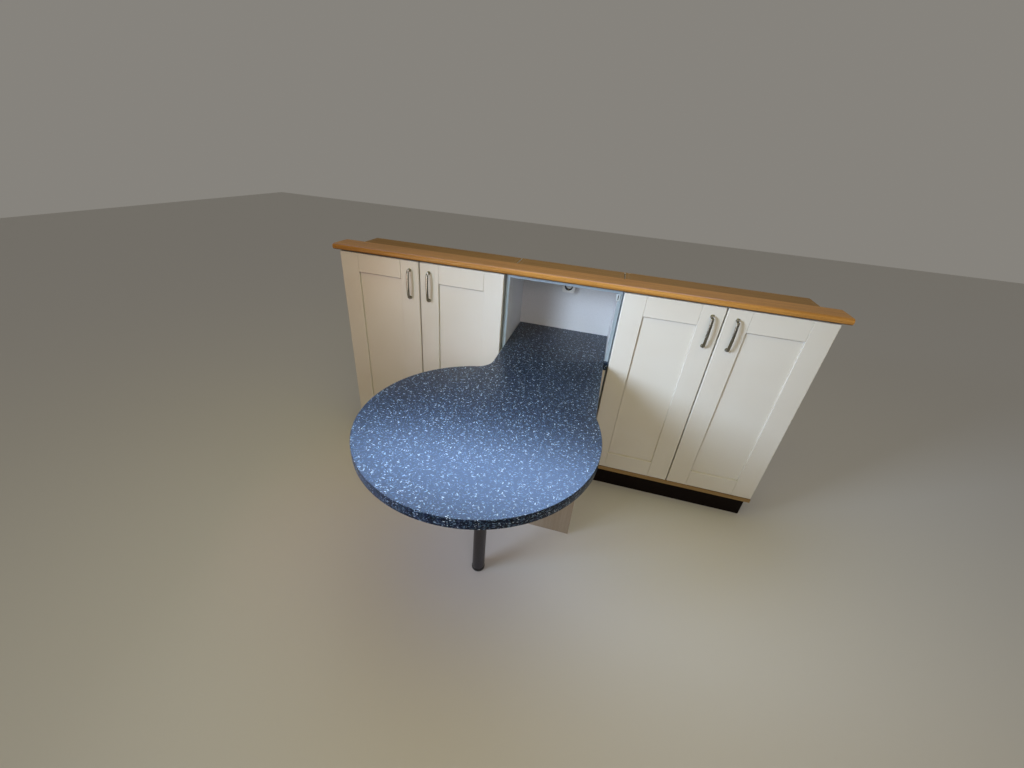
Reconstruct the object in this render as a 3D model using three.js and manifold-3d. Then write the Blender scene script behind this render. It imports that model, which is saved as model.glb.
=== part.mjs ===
// Fitted saloon unit: two 800 mm lockers, a niche between them, and a worktop
// that runs out of the niche as a round-ended table on one steel leg.
// Millimetres, +Z up. X runs along the unit, Y points into the lockers, the doors face -Y.
// The sizes below are in the unit's own frame: x = 0 at the niche's middle,
// y = 0 at the door fronts, z = 0 at the floor. The whole group is then moved
// along Y so that the origin is the middle of the footprint.

import * as THREE from 'three';
import { mergeVertices } from 'three/addons/utils/BufferGeometryUtils.js';
import Module from 'manifold-3d';

const wasm = await Module();
wasm.setup();

// Carcass
const BOARD = 16;
const NICHE_WIDTH = 500;
const LOCKER_WIDTH = 800;
const MODULE_GAP = 4;
const CARCASS_FRONT = 21;
const CARCASS_REAR = 325;
const BACK_BOARD = 8;
const CARCASS_TOP = 1060;
const SHELF_HEIGHT = 610;
const SHELF_SETBACK = 30;

// Plinth
const TOE_KICK_HEIGHT = 128;
const TOE_KICK_RECESS = 50;
const TOE_KICK_BOARD = 18;
const BASE_BOARD = 20;

// Doors
const DOOR_WIDTH = 398;
const DOOR_THICK = 20;
const DOOR_BOTTOM = 150;
const DOOR_TOP = 1057;
const DOOR_REVEAL = 0.5;
const STILE = 92;
const TOP_RAIL = 87;
const BOTTOM_RAIL = 91;
const EDGE_CHAMFER = 1.2;
const PANEL_FRONT = 7;
const PANEL_THICK = 7;
const PANEL_TONGUE = 8;
const FIT_GAP = 0.3;

// Concealed hinges
const CUP_RADIUS = 17.5;
const CUP_WALL = 1.5;
const CUP_FROM_EDGE = 22.5;
const CUP_FLOOR = 8.5;
const CUP_FLANGE = 1.2;
const CUP_FLANGE_REACH = 29;
const CUP_FLANGE_HALF = 12;
const BORE_CUTTER = 20;
const HINGE_FROM_END = 110;
const ARM_TIP = DOOR_THICK + CUP_FLANGE + 2 * FIT_GAP;

// Bow handles
const HANDLE_CENTRES = 128;
const HANDLE_BELOW_TOP = 106;
const HANDLE_FOOT_RADIUS = 8;
const HANDLE_FOOT_HEIGHT = 3;
const HANDLE_BAR_WIDTH = 12;
const HANDLE_BAR_DEPTH = 8.4;
const HANDLE_OFF_DOOR = 0.1;

// Ledge
const LEDGE_THICK = 26;
const LEDGE_FRONT = -8;
const LEDGE_REAR = 108;
const LEDGE_OVERHANG = 28;

// Worktop and its round table end
const WORKTOP_TOP = 730;
const WORKTOP_THICK = 35;
const WORKTOP_HALF = 232;
const ROUND_X = -143;
const ROUND_Y = -630;
const ROUND_RADIUS = 405;
const FILLET_RADIUS = 80;
const SHOULDER_RADIUS = 480;
const SHOULDER_START = THREE.MathUtils.degToRad(-5);

// Leg and pedestal under the worktop
const LEG_X = -118;
const LEG_Y = -639;
const LEG_RADIUS = 25;
const FOOT_HEIGHT = 14;
const FLANGE_HEIGHT = 34;
const PEDESTAL_HALF = 224;
const PEDESTAL_FRONT = -355;
const PEDESTAL_PLY = 9;
const LOWER_FRONT_HALF = 246;
const LOWER_FRONT_GAP = 3;

// Wall socket
const SOCKET_SIZE = 64;
const SOCKET_DEPTH = 30;
const SOCKET_BOTTOM = 931;
const SOCKET_WELL_RADIUS = 20;
const SOCKET_WELL_DEPTH = 16;

const LOCKER_INNER = NICHE_WIDTH / 2 + MODULE_GAP;
const LOCKER_OUTER = LOCKER_INNER + LOCKER_WIDTH;
const NICHE_INNER = NICHE_WIDTH / 2 - BOARD;
const CARCASS_BOTTOM = TOE_KICK_HEIGHT + BASE_BOARD;
const UNIT_REAR = CARCASS_REAR + BACK_BOARD;
const WORKTOP_UNDERSIDE = WORKTOP_TOP - WORKTOP_THICK;
const UNIT_FRONT = ROUND_Y - ROUND_RADIUS;
const HINGE_HEIGHTS = {
  upper: DOOR_TOP - HINGE_FROM_END,
  lower: DOOR_BOTTOM + HINGE_FROM_END,
};

// Each finish: colour, roughness, metalness
const FINISHES = {
  door_foil: [0xe6e2d6, 0.45, 0],
  white_board: [0xdfe4e8, 0.4, 0],
  white_back: [0xdcdcd6, 0.5, 0],
  ledge_wood: [0xa9702f, 0.4, 0],
  oak_board: [0xa88a55, 0.6, 0],
  dark_board: [0x2a1a12, 0.6, 0],
  speckled_laminate: [0x2b3a52, 0.3, 0],
  pedestal_ply: [0xb39a72, 0.6, 0],
  handle_metal: [0x8d8b86, 0.35, 1],
  leg_steel: [0x6a6b6e, 0.4, 1],
  foot_black: [0x16161a, 0.5, 0],
  hinge_steel: [0xb8babd, 0.3, 1],
  socket_plastic: [0xf1efe8, 0.3, 0],
};

const unit = new THREE.Group();

function add(name, geometry, finish) {
  const [color, roughness, metalness] = FINISHES[finish];
  const material = new THREE.MeshStandardMaterial({ color, roughness, metalness });
  const mesh = new THREE.Mesh(geometry, material);
  mesh.name = name;
  unit.add(mesh);
}

// A box between two x, two y and two z values, each pair in either order.
function block(xs, ys, zs) {
  const sizes = [xs, ys, zs].map(([a, b]) => Math.abs(b - a));
  const box = new THREE.BoxGeometry(...sizes);
  return box.translate(...[xs, ys, zs].map(([a, b]) => (a + b) / 2));
}

function toSolid(geometry) {
  const bare = geometry.clone();
  bare.deleteAttribute('normal');
  bare.deleteAttribute('uv');
  const merged = mergeVertices(bare, 1e-3);
  const mesh = new wasm.Mesh({
    numProp: 3,
    vertProperties: new Float32Array(merged.attributes.position.array),
    triVerts: new Uint32Array(merged.index.array),
  });
  return new wasm.Manifold(mesh);
}

function fromSolid(solid) {
  const mesh = solid.getMesh();
  const geometry = new THREE.BufferGeometry();
  geometry.setAttribute('position', new THREE.BufferAttribute(mesh.vertProperties, 3));
  geometry.setIndex(new THREE.BufferAttribute(mesh.triVerts, 1));
  return geometry;
}

function joined(base, others) {
  return fromSolid(others.reduce((solid, part) => solid.add(toSolid(part)), toSolid(base)));
}

function cut(base, tools) {
  return fromSolid(tools.reduce((solid, tool) => solid.subtract(toSolid(tool)), toSolid(base)));
}

// A flat outline in x and y, raised from one height to another.
function raised(shape, z0, z1, curveSegments = 12) {
  const settings = { depth: z1 - z0, bevelEnabled: false, curveSegments };
  return new THREE.ExtrudeGeometry(shape, settings).translate(0, 0, z0);
}

// A section in y and z, run along x.
function runAlongX(shape, x0, x1, curveSegments = 12) {
  const geometry = raised(shape, x0, x1, curveSegments);
  const turn = new THREE.Matrix4().makeBasis(
    new THREE.Vector3(0, 1, 0),
    new THREE.Vector3(0, 0, 1),
    new THREE.Vector3(1, 0, 0),
  );
  return geometry.applyMatrix4(turn);
}

// A turned profile of [radius, height] pairs about a vertical axis.
function turned(profile, segments) {
  const points = profile.map(([radius, height]) => new THREE.Vector2(radius, height));
  return new THREE.LatheGeometry(points, segments).rotateX(Math.PI / 2);
}

// What a side board carries for each hinge: the start and end from the board's inner face,
// the front and rear, and half the height. Below zero is sunk into the board.
const HINGE_PIECES = {
  plate: [-1, 3, 50, 82, 24],
  arm: [-1, 14, 38, 95, 8],
  arm_front: [4, 14, ARM_TIP, 40, 8],
  link: [4, 30, ARM_TIP, ARM_TIP + 2, 6],
};

// The side board of a carcass, with the plates and arms of its door's hinges if it has them.
// inward is +1 where the inside of the carcass lies towards +x.
function sideBoard(xOut, inward, hasHinges) {
  const xIn = xOut + inward * BOARD;
  const board = block([xOut, xIn], [CARCASS_FRONT, CARCASS_REAR], [CARCASS_BOTTOM, CARCASS_TOP]);
  if (!hasHinges) return board;
  const hardware = Object.values(HINGE_HEIGHTS).flatMap((z) =>
    Object.values(HINGE_PIECES).map(([start, end, front, rear, half]) =>
      block([xIn + inward * start, xIn + inward * end], [front, rear], [z - half, z + half]),
    ),
  );
  return joined(board, hardware);
}

// One locker. out is +1 on the right of the niche and -1 on the left.
function addLocker(side, out) {
  const inner = out * LOCKER_INNER;
  const outer = out * LOCKER_OUTER;
  const depth = [CARCASS_FRONT, CARCASS_REAR];
  const between = [inner + out * BOARD, outer - out * BOARD];
  add(`${side}_inner_side`, sideBoard(inner, out, true), 'white_board');
  add(`${side}_outer_side`, sideBoard(outer, -out, true), 'white_board');
  const shelfDepth = [CARCASS_FRONT + SHELF_SETBACK, CARCASS_REAR];
  const level = (ys, z) => block(between, ys, [z, z + BOARD]);
  add(`${side}_top`, level(depth, CARCASS_TOP - BOARD), 'white_board');
  add(`${side}_bottom`, level(depth, CARCASS_BOTTOM), 'white_board');
  add(`${side}_shelf`, level(shelfDepth, SHELF_HEIGHT), 'white_board');
}

// The section of a door frame member across its width, with small chamfers at the front.
function memberSection(a, b) {
  const low = Math.min(a, b);
  const high = Math.max(a, b);
  const shape = new THREE.Shape();
  shape.moveTo(low, DOOR_THICK);
  shape.lineTo(low, EDGE_CHAMFER);
  shape.lineTo(low + EDGE_CHAMFER, 0);
  shape.lineTo(high - EDGE_CHAMFER, 0);
  shape.lineTo(high, EDGE_CHAMFER);
  shape.lineTo(high, DOOR_THICK);
  return shape;
}

// The same section for a rail: y and z change places and the run is along x.
function railSection(z0, z1) {
  const shape = new THREE.Shape();
  shape.moveTo(DOOR_THICK, z0);
  shape.lineTo(EDGE_CHAMFER, z0);
  shape.lineTo(0, z0 + EDGE_CHAMFER);
  shape.lineTo(0, z1 - EDGE_CHAMFER);
  shape.lineTo(EDGE_CHAMFER, z1);
  shape.lineTo(DOOR_THICK, z1);
  return shape;
}

// The middle line of a bow handle from its upper foot to the top of the bow: the distance
// behind the door's front face (negative is in front) and the share of half the hole centres.
const BOW_ROUTE = [
  [-1.5, 1],
  [-9, 1],
  [-16, 0.98],
  [-20.4, 0.88],
  [-23, 0.5],
  [-24.5, 0],
];

// A bow handle: two round feet and an oval bar that arches between them.
function handle(x, z) {
  const half = HANDLE_CENTRES / 2;
  const back = BOW_ROUTE.slice(0, -1).reverse().map(([y, share]) => [y, -share]);
  const points = [...BOW_ROUTE, ...back].map(([y, share]) => new THREE.Vector3(x, y, z + half * share));
  const oval = new THREE.Shape();
  oval.absellipse(0, 0, HANDLE_BAR_WIDTH / 2, HANDLE_BAR_DEPTH / 2, 0, Math.PI * 2, false, 0);
  const bar = new THREE.ExtrudeGeometry(oval, {
    steps: 44,
    curveSegments: 5,
    extrudePath: new THREE.CatmullRomCurve3(points),
  });
  const narrow = HANDLE_FOOT_RADIUS * 0.8;
  const feet = [half, -half].map((dz) => {
    const foot = new THREE.CylinderGeometry(HANDLE_FOOT_RADIUS, narrow, HANDLE_FOOT_HEIGHT, 20);
    return foot.translate(x, -HANDLE_FOOT_HEIGHT / 2, z + dz);
  });
  return joined(bar, feet).translate(0, -HANDLE_OFF_DOOR, 0);
}

// The cup of a concealed hinge, open to the back, with its fixing flange on the door's back.
function hingeCup(x, z, inward) {
  const rim = DOOR_THICK + FIT_GAP * 2;
  const profile = [
    [0, CUP_FLOOR],
    [CUP_RADIUS, CUP_FLOOR],
    [CUP_RADIUS, rim],
    [CUP_RADIUS - CUP_WALL, rim],
    [CUP_RADIUS - CUP_WALL, CUP_FLOOR + CUP_WALL],
    [0, CUP_FLOOR + CUP_WALL],
  ];
  const points = profile.map(([radius, y]) => new THREE.Vector2(radius, y));
  const cup = new THREE.LatheGeometry(points, 28).translate(x, 0, z);
  const flangeX = [x + inward * (CUP_RADIUS - CUP_WALL / 2), x + inward * CUP_FLANGE_REACH];
  const flangeY = [DOOR_THICK + FIT_GAP, DOOR_THICK + FIT_GAP + CUP_FLANGE];
  const flange = block(flangeX, flangeY, [z - CUP_FLANGE_HALF, z + CUP_FLANGE_HALF]);
  return joined(cup, [flange]);
}

// One door. hingeX is its hinged edge and inward points from there to its lock edge.
function addDoor(number, hingeX, inward) {
  const name = `door_${number}`;
  const lockX = hingeX + inward * DOOR_WIDTH;
  const hingeStile = hingeX + inward * STILE;
  const lockStile = lockX - inward * STILE;
  const panelX = [hingeStile - inward * PANEL_TONGUE, lockStile + inward * PANEL_TONGUE];
  const panelZ = [DOOR_BOTTOM + BOTTOM_RAIL - PANEL_TONGUE, DOOR_TOP - TOP_RAIL + PANEL_TONGUE];
  const panelY = [PANEL_FRONT, PANEL_FRONT + PANEL_THICK];
  const grown = ([a, b]) => [a - Math.sign(b - a) * FIT_GAP, b + Math.sign(b - a) * FIT_GAP];
  const pocket = block(grown(panelX), grown(panelY), grown(panelZ));
  const cupX = hingeX + inward * CUP_FROM_EDGE;
  const boreRadius = CUP_RADIUS + FIT_GAP;
  const bores = Object.values(HINGE_HEIGHTS).map((z) => {
    const bore = new THREE.CylinderGeometry(boreRadius, boreRadius, BORE_CUTTER, 28);
    return bore.translate(cupX, CUP_FLOOR - FIT_GAP + BORE_CUTTER / 2, z);
  });

  const hingeMember = raised(memberSection(hingeX, hingeStile), DOOR_BOTTOM, DOOR_TOP);
  const lockMember = raised(memberSection(lockStile, lockX), DOOR_BOTTOM, DOOR_TOP);
  const railX = [Math.min(hingeStile, lockStile), Math.max(hingeStile, lockStile)];
  const topRail = runAlongX(railSection(DOOR_TOP - TOP_RAIL, DOOR_TOP), ...railX);
  const bottomRail = runAlongX(railSection(DOOR_BOTTOM, DOOR_BOTTOM + BOTTOM_RAIL), ...railX);
  add(`${name}_hinge_stile`, cut(hingeMember, [pocket, ...bores]), 'door_foil');
  add(`${name}_lock_stile`, cut(lockMember, [pocket]), 'door_foil');
  add(`${name}_top_rail`, cut(topRail, [pocket]), 'door_foil');
  add(`${name}_bottom_rail`, cut(bottomRail, [pocket]), 'door_foil');
  add(`${name}_panel`, block(panelX, panelY, panelZ), 'door_foil');
  const handleX = lockX - inward * (STILE / 2);
  add(`${name}_handle`, handle(handleX, DOOR_TOP - HANDLE_BELOW_TOP), 'handle_metal');
  for (const [place, z] of Object.entries(HINGE_HEIGHTS)) {
    add(`${name}_hinge_cup_${place}`, hingeCup(cupX, z, inward), 'hinge_steel');
  }
}

// The niche: two full-height sides, a top between them and the fixed front under the worktop.
function addNiche() {
  const depth = [CARCASS_FRONT, CARCASS_REAR];
  const half = NICHE_WIDTH / 2;
  add('niche_left_side', sideBoard(-half, 1, false), 'white_board');
  add('niche_right_side', sideBoard(half, -1, false), 'white_board');
  const topZ = [CARCASS_TOP - BOARD, CARCASS_TOP];
  add('niche_top', block([-NICHE_INNER, NICHE_INNER], depth, topZ), 'white_board');
  const frontX = [-LOWER_FRONT_HALF, LOWER_FRONT_HALF];
  const frontZ = [DOOR_BOTTOM, WORKTOP_UNDERSIDE - LOWER_FRONT_GAP];
  add('lower_front', block(frontX, [0, CARCASS_FRONT], frontZ), 'door_foil');
}

function addPlinthAndBack() {
  const width = [-LOCKER_OUTER, LOCKER_OUTER];
  const kickRear = TOE_KICK_RECESS + TOE_KICK_BOARD;
  const backDepth = [CARCASS_REAR, UNIT_REAR];
  const kickDepth = [TOE_KICK_RECESS, kickRear];
  add('back_board', block(width, backDepth, [CARCASS_BOTTOM, CARCASS_TOP]), 'white_back');
  add('base_board', block(width, [0, UNIT_REAR], [TOE_KICK_HEIGHT, CARCASS_BOTTOM]), 'oak_board');
  add('toe_kick', block(width, kickDepth, [0, TOE_KICK_HEIGHT]), 'dark_board');
  for (const [side, out] of [['left', -1], ['right', 1]]) {
    const xs = [out * LOCKER_OUTER, out * (LOCKER_OUTER - TOE_KICK_BOARD)];
    add(`plinth_end_${side}`, block(xs, [kickRear, UNIT_REAR], [0, TOE_KICK_HEIGHT]), 'dark_board');
  }
}

// The ledge: a board with a full half-round nose along its front.
function addLedge() {
  const radius = LEDGE_THICK / 2;
  const noseY = LEDGE_FRONT + radius;
  const noseZ = CARCASS_TOP + radius;
  const section = new THREE.Shape();
  section.moveTo(LEDGE_REAR, CARCASS_TOP + LEDGE_THICK);
  section.lineTo(noseY, CARCASS_TOP + LEDGE_THICK);
  section.absarc(noseY, noseZ, radius, Math.PI / 2, Math.PI * 1.5, false);
  section.lineTo(LEDGE_REAR, CARCASS_TOP);
  const reach = LOCKER_OUTER + LEDGE_OVERHANG;
  add('ledge', runAlongX(section, -reach, reach), 'ledge_wood');
}

// The worktop's outline: straight inside the niche and along the stem, a concave fillet on
// the left, the round end, and on the right a flatter shoulder that meets the stem at
// a corner, and an ear in front of the niche's side.
function worktopOutline() {
  const stem = WORKTOP_HALF;
  const ear = NICHE_WIDTH / 2;
  const rear = CARCASS_REAR - FIT_GAP;

  const filletX = -stem - FILLET_RADIUS;
  const reach = ROUND_RADIUS + FILLET_RADIUS;
  const filletY = ROUND_Y + Math.sqrt(reach ** 2 - (filletX - ROUND_X) ** 2);
  const meeting = Math.atan2(filletY - ROUND_Y, filletX - ROUND_X);

  const offset = ROUND_RADIUS - SHOULDER_RADIUS;
  const shoulderX = ROUND_X + offset * Math.cos(SHOULDER_START);
  const shoulderY = ROUND_Y + offset * Math.sin(SHOULDER_START);
  const shoulderEnd = Math.acos((stem - shoulderX) / SHOULDER_RADIUS);

  const shape = new THREE.Shape();
  shape.moveTo(-stem, rear);
  shape.lineTo(-stem, filletY);
  shape.absarc(filletX, filletY, FILLET_RADIUS, 0, meeting - Math.PI, true);
  shape.absarc(ROUND_X, ROUND_Y, ROUND_RADIUS, meeting, Math.PI * 2 + SHOULDER_START, false);
  shape.absarc(shoulderX, shoulderY, SHOULDER_RADIUS, SHOULDER_START, shoulderEnd, false);
  shape.lineTo(stem, 0);
  shape.lineTo(ear, 0);
  shape.lineTo(ear, CARCASS_FRONT);
  shape.lineTo(stem, CARCASS_FRONT);
  shape.lineTo(stem, rear);
  return shape;
}

function addTable() {
  const slab = raised(worktopOutline(), WORKTOP_UNDERSIDE, WORKTOP_TOP, 40);
  add('worktop', slab, 'speckled_laminate');

  // Radius and height up each turned piece of the leg
  const flange = [[0, 0], [28, 0], [28, 28], [55, 30], [55, FLANGE_HEIGHT], [0, FLANGE_HEIGHT]];
  const foot = [[0, 0], [24, 0], [27, 2.5], [27, 10], [25.2, FOOT_HEIGHT], [0, FOOT_HEIGHT]];
  const tubeTop = WORKTOP_UNDERSIDE - FLANGE_HEIGHT;
  const tubeLength = tubeTop - FOOT_HEIGHT;
  const tube = [[0, 0], [LEG_RADIUS, 0], [LEG_RADIUS, tubeLength], [0, tubeLength]];
  add('leg_flange', turned(flange, 40).translate(LEG_X, LEG_Y, tubeTop), 'leg_steel');
  add('table_leg', turned(tube, 40).translate(LEG_X, LEG_Y, FOOT_HEIGHT), 'leg_steel');
  add('leg_foot', turned(foot, 40).translate(LEG_X, LEG_Y, 0), 'foot_black');

  const inside = PEDESTAL_HALF - PEDESTAL_PLY;
  const height = [0, WORKTOP_UNDERSIDE];
  const frontY = [PEDESTAL_FRONT, PEDESTAL_FRONT + PEDESTAL_PLY];
  add('pedestal_front', block([-inside, inside], frontY, height), 'pedestal_ply');
  for (const [side, out] of [['left', -1], ['right', 1]]) {
    const xs = [out * inside, out * PEDESTAL_HALF];
    add(`pedestal_side_${side}`, block(xs, [PEDESTAL_FRONT, 0], height), 'pedestal_ply');
  }
}

// The round two-pin socket on the niche's back: a square box with a round well.
// The cutter reaches as far in front of the face as into it.
function addSocket() {
  const half = SOCKET_SIZE / 2;
  const front = CARCASS_REAR - SOCKET_DEPTH;
  const z = SOCKET_BOTTOM + half;
  const body = block([-half, half], [front, CARCASS_REAR], [z - half, z + half]);
  const radius = SOCKET_WELL_RADIUS;
  const cutter = new THREE.CylinderGeometry(radius, radius, SOCKET_WELL_DEPTH * 2, 32);
  add('wall_socket', cut(body, [cutter.translate(0, front, z)]), 'socket_plastic');
}

addLocker('left', -1);
addLocker('right', 1);
addNiche();
addPlinthAndBack();
addLedge();
addTable();
addSocket();

// Doors from left to right: number, hinged edge, direction from there to the lock edge
const innerEdge = LOCKER_INNER + DOOR_REVEAL;
const outerEdge = LOCKER_OUTER - DOOR_REVEAL;
const DOORS = [
  [1, -outerEdge, 1],
  [2, -innerEdge, -1],
  [3, innerEdge, 1],
  [4, outerEdge, -1],
];
for (const [number, hingeX, inward] of DOORS) addDoor(number, hingeX, inward);

unit.position.y = -(UNIT_FRONT + UNIT_REAR) / 2;
unit.updateMatrixWorld(true);

export default unit;
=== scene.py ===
import math

import bmesh
import bpy
import numpy as np
from mathutils import Euler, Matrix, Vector


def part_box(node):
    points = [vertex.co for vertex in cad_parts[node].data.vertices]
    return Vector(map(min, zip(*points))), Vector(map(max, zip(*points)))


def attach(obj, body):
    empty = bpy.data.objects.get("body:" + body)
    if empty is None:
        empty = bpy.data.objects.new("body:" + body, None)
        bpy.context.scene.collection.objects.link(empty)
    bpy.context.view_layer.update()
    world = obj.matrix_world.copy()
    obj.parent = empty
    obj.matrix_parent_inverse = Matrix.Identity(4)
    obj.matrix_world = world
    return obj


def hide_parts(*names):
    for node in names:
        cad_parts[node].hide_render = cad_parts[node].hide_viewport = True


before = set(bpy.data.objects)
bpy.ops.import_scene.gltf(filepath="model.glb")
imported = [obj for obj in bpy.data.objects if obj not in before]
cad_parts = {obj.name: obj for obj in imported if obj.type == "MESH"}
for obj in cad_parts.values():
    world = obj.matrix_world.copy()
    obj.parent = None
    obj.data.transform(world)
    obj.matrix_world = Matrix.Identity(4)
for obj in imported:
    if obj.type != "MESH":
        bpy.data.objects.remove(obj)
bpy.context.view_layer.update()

# Sizes are in millimetres unless a comment says otherwise, and MM turns them to metres
MM = 0.001

# The camera stands at eye height in front of the table, looking down at it with a wide lens. Its place
# and its near limit are in metres
CAMERA_PLACE = (0.1742, -1.3203, 1.5250)
CAMERA_TURN_DEG = (59.635, -4.466, 14.527)
CAMERA_LENS = 14.103
CAMERA_SENSOR = 36.0
CAMERA_NEAR = 0.02

# Soft boxes. Columns: place, way that each faces, width and height in metres, spread in degrees, power
# in watts, colour
SOFT_BOXES = {
    "left_tall": ((-1.12, -1.08, 1.46), (0.72, 0.61, -0.34), 0.66, 0.80, 61, 7.1, "#cfe3ff"),
    "rear_wide": ((-0.44, 0.62, 2.34), (0.10, -1.00, -0.55), 2.80, 1.00, 110, 84.0, "#a1c6ff"),
    "left_strip": ((-1.50, -0.72, 0.82), (1.00, 0.60, 0.00), 0.30, 0.75, 120, 0.6, "#ff6a3a"),
    "gloss_card": ((-1.15, -1.05, 0.74), (0.96, 0.27, 0.00), 1.40, 0.72, 180, 9.0, "#f4efe4"),
    "front_fill": ((0.90, -2.30, 2.00), (-0.40, 1.00, -0.42), 1.60, 0.80, 170, 9.7, "#ffeff4"),
    "above": ((0.00, -0.60, 2.30), (0.00, 0.00, -1.00), 2.20, 1.60, 170, 9.6, "#fff28a"),
}
# These two are only mirrored, so that they colour the sheen and not the floor
ONLY_MIRRORED = ("rear_wide", "gloss_card")
SKY_COLOUR = "#fff9ee"
SKY_STRENGTH = 0.24

# Floor: half its width and how far it lies below the feet, in metres
FLOOR_COLOUR = "#d6d4d0"
FLOOR_HALF = 9.0
FLOOR_DROP = 0.0004

# Doors: edge radii, what comes off each side of doors 1 to 4, how near to a door's side a member's side
# counts as the same one, then the panel's tongue, its grooves, its step and the bores of the hinge cups
DOOR_EDGE = 4.0
JOINT_EDGE = 0.8
RIGHT_STILE_EDGE = 2.2
DOOR_SLACKS = (1.1, 1.1, 0.6, 0.6)
SAME_SIDE = 2.0
PANEL_TONGUE = 8.0
PANEL_LEFT_GROOVES = (1.3, 1.3, 2.7, 2.7)
PANEL_LOW_GROOVE = 1.3
PANEL_TOP_GROOVE = 3.6
PANEL_SEAM = 0.1
PANEL_STEP = 5.0
PANEL_ARRIS = 0.3
CUP_RADIUS = 17.5
CUP_BORE_RADIUS = 17.8
CUP_BORE_FLOOR = 8.2
CUP_BORE_END = 30.0

# Carcass boards, their edging and the shelf-pin holes with the painted shade that lines them
BOARD = 16.0
BOARD_ARRIS = 0.15
BACK_ARRIS = 0.3
EDGING = 0.8
EDGING_ROUND = 0.3
PIN_HOLE_RADIUS = 3.0
PIN_HOLE_DEPTH = 8.0
PIN_LINING_TOP = 1.5
LINING_GAP = 0.05
LINING_FLOOR_GAP = 0.1

# Hinge arms: their edge, and where the plate's two screws sit behind the door's face and off the middle
ARM_EDGE = 1.0
ARM_SCREW_BACK = 66.0
ARM_SCREW_OFF = 17.0

# Worktop
TABLE_RADIUS = 405.0
STEM_HALF = 232.0
EAR_HALF = 250.0
EAR_DEPTH = 21.0
STEM_FILLET = 80.0
SHOULDER_RADIUS = 480.0
SHOULDER_START = math.radians(-5)
WORKTOP_ARRIS = 1.6
LAMINATE_GLOSS = 0.3
EDGE_BAND_GLOSS = 0.1

# Table leg: the tube and the circle of the top plate's screws
LEG_RADIUS = 25.0
LEG_ARRIS = 0.6
PLATE_SCREW_CIRCLE = 43.0

# Bow handle: how far it stands out, half the distance of its legs, the radii of the bow and of its
# corners, the power of its oval section, the steps along it and the sides round it. Then the length of leg
# that keeps its section, the length over which it slims to the bow's, and the collar's length. The last
# two are half the section's width and thickness: in the legs, what the bow adds, what the collar adds
BOW_PROJECTION = 24.5
BOW_HALF = 64.0
BOW_RADIUS = 318.0
BOW_CORNER = 6.0
BOW_SECTION_POWER = 2.2
BOW_STEPS = 121
BOW_SIDES = 28
BOW_LEG = 8.0
BOW_BLEND = 20.0
BOW_COLLAR = 2.6
BOW_HALF_WIDE = (6.2, -0.2, 1.7)
BOW_HALF_THICK = (4.6, -0.4, 3.3)

# Socket: the well, the box's corners, the insert, the pin holes, the side contacts and the well's dark
# lining, partly its own dark wall and partly painted shade
SOCKET_WELL = 20.0
SOCKET_WELL_DEPTH = 16.0
SOCKET_CORNER_POWER = 9.0
SOCKET_INSERT = 14.5
SOCKET_PIN_OUT = 9.5
SOCKET_CONTACT_INNER = 17.2
SOCKET_CONTACT_OUTER = 19.6
SOCKET_CONTACT_HALF = 2.5
SOCKET_CONTACT_DEEP = 11.0
SOCKET_CONTACT_EDGE = 0.8
SOCKET_LINING = 0.6
SOCKET_LINING_FRONT = 3.0

# Catch on the niche's right side
CATCH_LAP = 8.0
CATCH_WIDE = 16.5
CATCH_PROUD = 3.5
CATCH_BOTTOM = 1012.0
CATCH_HIGH = 30.0
CATCH_EDGE = 3.0
CATCH_BODY_DEEP = 12.0
CATCH_BODY_EDGE = 1.0
CATCH_SLOT_HALF = 2.2
CATCH_SLOT_EDGE = 1.2

# Finished meshes: how near points merge, in metres, the angle from which an edge stays sharp, how much of
# a face's normal is upright on a level face and on an edge band, and how near to the unit's top a face
# counts as lying there
MERGE_DISTANCE = 2e-6
SHARP_ANGLE = math.radians(38)
LEVEL = 0.99
BAND_BELOW = 0.7
TOP_REACH = 0.5

DOOR_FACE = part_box("door_1_lock_stile")[0].y
HINGE_HEIGHTS = [
    sum(corner.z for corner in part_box("door_1_hinge_cup_" + place)) / 2 for place in ("upper", "lower")
]


# Shapes: each returns its points in metres and its faces as lists of point numbers

def grid_faces(rows, columns, wrap, wrap_rows=False):
    """Quads between the neighbours of a grid whose points are numbered row by row. Its last column can
    join its first, and its last row its first."""
    number = np.arange(rows * columns).reshape(rows, columns)
    if wrap_rows:
        number = np.vstack([number, number[:1]])
    if wrap:
        number = np.hstack([number, number[:, :1]])
    corners = [number[:-1, :-1], number[:-1, 1:], number[1:, 1:], number[1:, :-1]]
    return np.stack(corners, axis=-1).reshape(-1, 4).tolist()


def shell(rings):
    """A closed shell through a stack of rings of points, with one flat face over each end."""
    rows, columns = rings.shape[:2]
    faces = grid_faces(rows, columns, True)
    faces.append(list(range(columns)))
    faces.append(list(range((rows - 1) * columns, rows * columns)))
    return rings.reshape(-1, 3), faces


def together(shapes):
    """Several shapes as one, by adding to each one's face numbers the count of the points before it."""
    points, faces, count = [], [], 0
    for some_points, some_faces in shapes:
        points.append(some_points)
        faces.extend([[number + count for number in face] for face in some_faces])
        count += len(some_points)
    return np.concatenate(points), faces


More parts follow.
